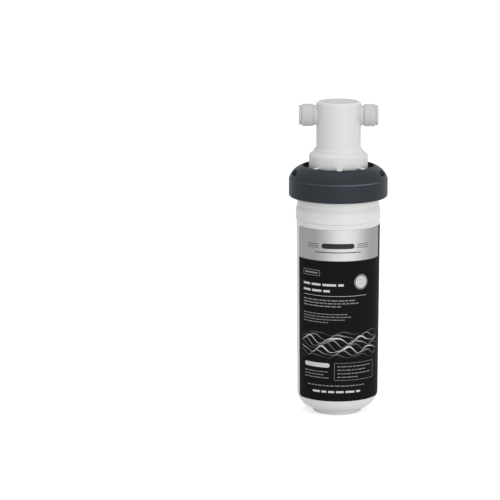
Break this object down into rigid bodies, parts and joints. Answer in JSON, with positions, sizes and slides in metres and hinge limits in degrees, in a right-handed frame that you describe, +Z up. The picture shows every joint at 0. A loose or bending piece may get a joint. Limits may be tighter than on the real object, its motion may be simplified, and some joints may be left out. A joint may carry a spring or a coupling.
{
  "type": "under-sink water filter",
  "caption": "Under-sink water filter: a wall head with push-fit side ports, a twist locking collar and a drop-out cartridge with a printed wrap.",
  "frame": {"origin": "centre of the foot's underside, on the cartridge's axis, at floor level", "axes": "+Z up the cartridge's axis towards the head; +X from the inlet port to the outlet port; -Y towards the label's face"},
  "size_m": [0.102, 0.102, 0.325],
  "materials": {
    "white_shell": "moulded white polypropylene, satin",
    "white_head": "moulded white polypropylene, satin",
    "white_port": "moulded white acetal, satin",
    "slate_collar": "dark slate moulded nylon, fine satin",
    "black_ring": "black acetal washer",
    "label_print": "printed film, silver foil above black, laminated",
    "seal_rubber": "black EPDM",
    "spring_steel": "stainless",
    "carbon": "pressed activated carbon",
    "filter_cloth": "spun polypropylene and membrane",
    "inner_white": "moulded polypropylene, unfinished"
  },
  "bodies": {
    "head": {"head_body": "white_head", "head_cap": "white_head", "collar_bearing_ring": "black_ring", "spring_retainer": "spring_steel", "valve_spring": "spring_steel", "outlet_port_nut": "white_port", "outlet_tube_seal": "seal_rubber", "outlet_seal_spacer": "inner_white", "inlet_port_nut": "white_port", "inlet_tube_seal": "seal_rubber", "inlet_seal_spacer": "inner_white"},
    "cartridge": {"cartridge_shell": "white_shell", "cartridge_end_cap": "white_shell", "cartridge_label": "label_print", "spigot_seal": "seal_rubber", "nipple_seals": "seal_rubber", "element_pad": "seal_rubber", "element_bottom_cap": "inner_white", "element_top_cap": "inner_white", "element_seal": "seal_rubber", "element_core": "inner_white", "membrane_sleeve": "filter_cloth", "carbon_block": "carbon", "prefilter_wrap": "filter_cloth"},
    "collar": {"locking_collar": "slate_collar"},
    "valve": {"valve_ring": "inner_white", "valve_pad": "seal_rubber"},
    "outlet_release": {"outlet_collet": "white_port", "outlet_grip_ring": "spring_steel"},
    "inlet_release": {"inlet_collet": "white_port", "inlet_grip_ring": "spring_steel"}
  },
  "joints": [
    {"name": "cartridge_drop", "type": "slide", "parent": "head", "child": "cartridge", "axis": [0, 0, -1], "range_m": [0, 0.006]},
    {"name": "collar_twist", "type": "hinge", "parent": "head", "child": "collar", "pos_m": [0, 0, 0.24], "axis": [0, 0, -1], "range_deg": [0, 90]},
    {"name": "valve_drop", "type": "slide", "parent": "head", "child": "valve", "axis": [0, 0, -1], "range_m": [0, 0.006], "deforming": ["valve_spring"]},
    {"name": "outlet_collet_press", "type": "slide", "parent": "head", "child": "outlet_release", "axis": [-1, 0, 0], "range_m": [0, 0.001]},
    {"name": "inlet_collet_press", "type": "slide", "parent": "head", "child": "inlet_release", "axis": [1, 0, 0], "range_m": [0, 0.001]}
  ],
  "couplings": [
    {"joint": "collar_twist", "follows": "cartridge_drop", "rad_per_m": 261.8},
    {"joint": "valve_drop", "follows": "cartridge_drop", "ratio": 1}
  ]
}
